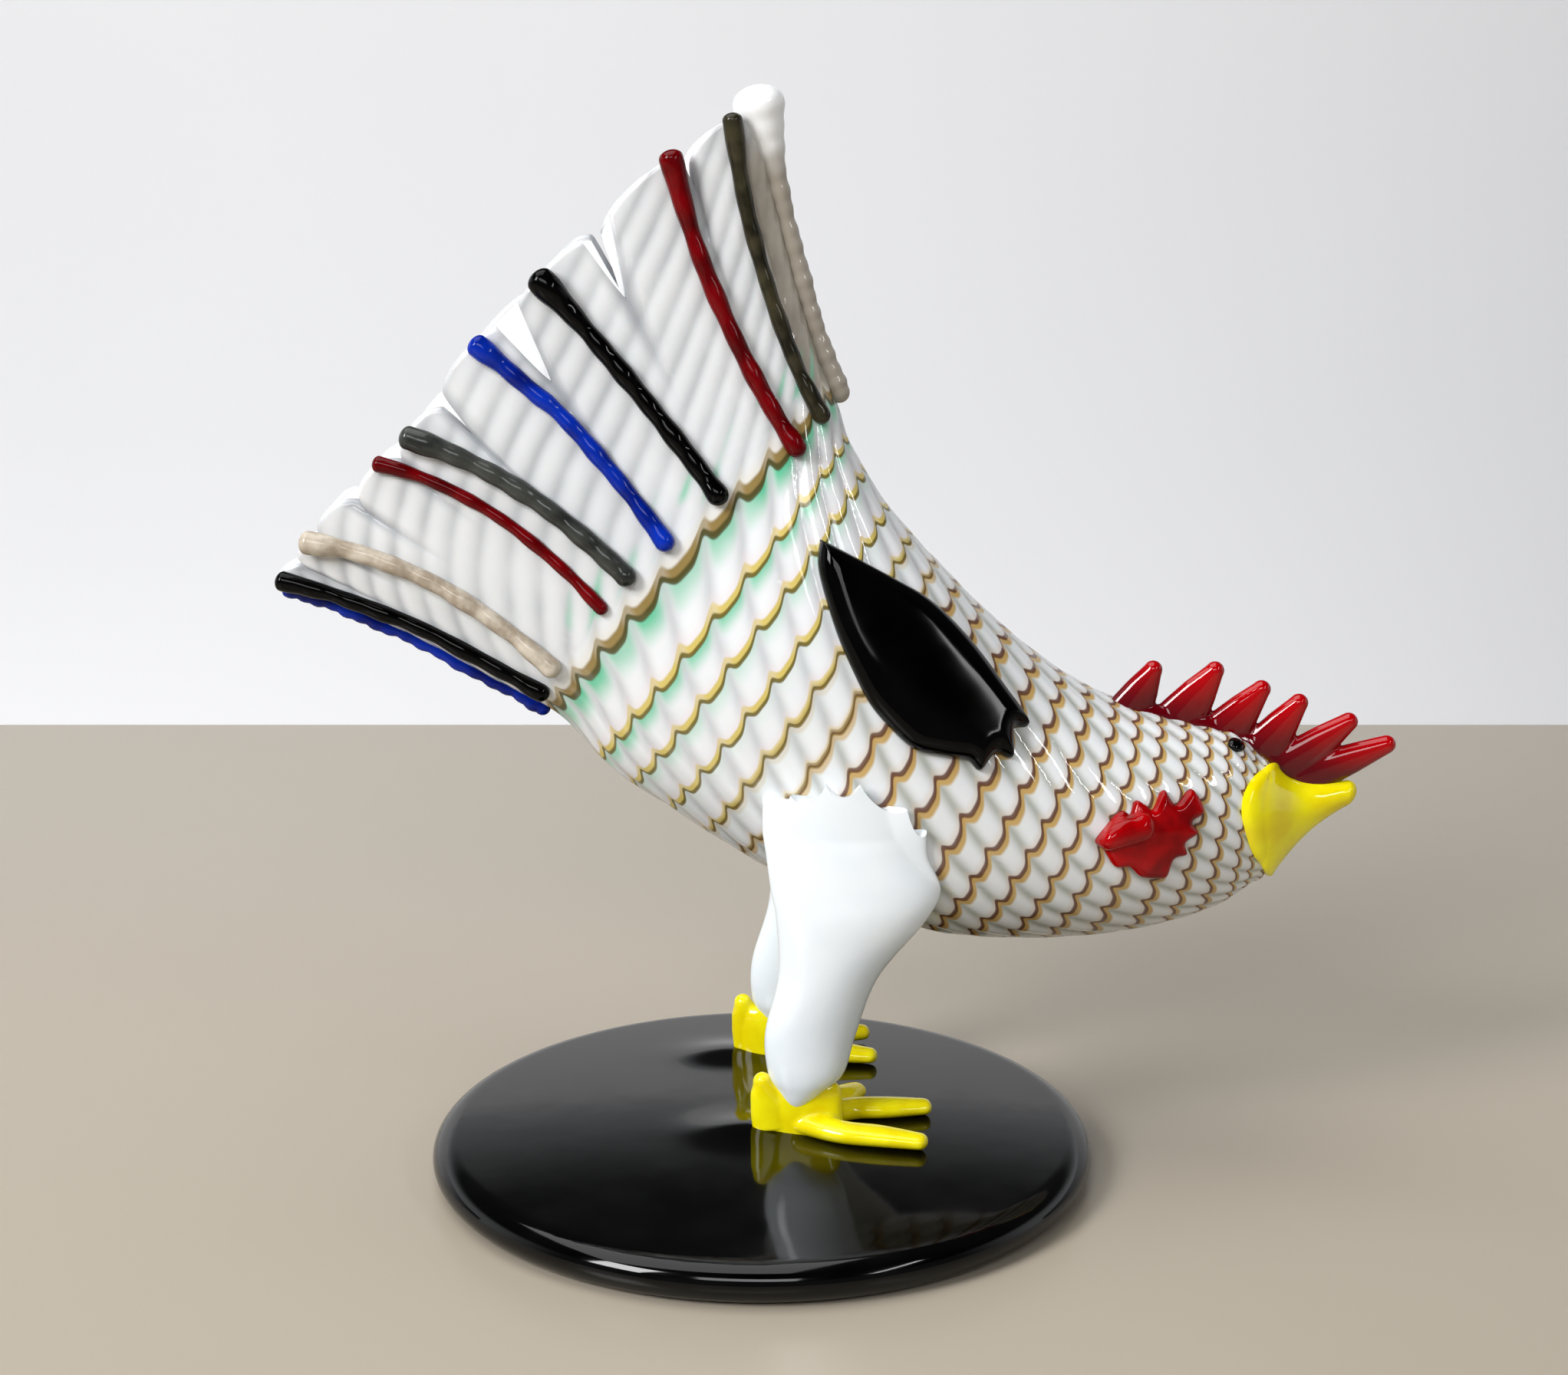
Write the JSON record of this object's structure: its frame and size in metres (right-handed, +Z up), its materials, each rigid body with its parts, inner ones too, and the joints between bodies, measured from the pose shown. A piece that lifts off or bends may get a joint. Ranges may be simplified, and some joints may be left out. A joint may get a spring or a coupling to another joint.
{
  "type": "glass rooster vase",
  "caption": "Blown-glass vase shaped as a rooster with lowered head and raised tail fan, whose rim is the mouth, with coloured glass rods, wings, comb and feet, on a black disc base",
  "frame": {"origin": "the middle of the disc's underside, where the vase stands", "axes": "+X is the way the rooster's head points, -Y is its right side, +Z is up"},
  "size_m": [0.3114, 0.1854, 0.2987],
  "materials": {
    "milk_glass": "glossy milky white glass with trailed brown, gold and green threads",
    "black_glass": "glossy opaque black glass",
    "opal_white_glass": "glossy opaque white glass",
    "yellow_glass": "glossy opaque yellow glass",
    "red_glass": "glossy deep red glass",
    "blue_glass": "glossy cobalt blue glass",
    "tan_glass": "glossy tan glass",
    "grey_glass": "glossy dark grey glass",
    "olive_glass": "glossy dark olive glass"
  },
  "bodies": {
    "root": {"body": "milk_glass", "base_disc": "black_glass", "leg_right": "opal_white_glass", "leg_left": "opal_white_glass", "foot_right": "yellow_glass", "foot_left": "yellow_glass", "wing_right": "black_glass", "wing_left": "black_glass", "beak": "yellow_glass", "comb": "red_glass", "wattle_right": "red_glass", "wattle_left": "red_glass", "eye_right": "black_glass", "eye_left": "black_glass", "rod_lower_black_right": "black_glass", "rod_lower_black_left": "black_glass", "rod_tan_right": "tan_glass", "rod_tan_left": "tan_glass", "rod_lower_red_right": "red_glass", "rod_lower_red_left": "red_glass", "rod_grey_right": "grey_glass", "rod_grey_left": "grey_glass", "rod_blue_right": "blue_glass", "rod_blue_left": "blue_glass", "rod_black_right": "black_glass", "rod_black_left": "black_glass", "rod_red_right": "red_glass", "rod_red_left": "red_glass", "rod_olive_right": "olive_glass", "rod_olive_left": "olive_glass", "rod_lower_edge": "blue_glass", "rod_upper_edge": "tan_glass"}
  },
  "joints": []
}
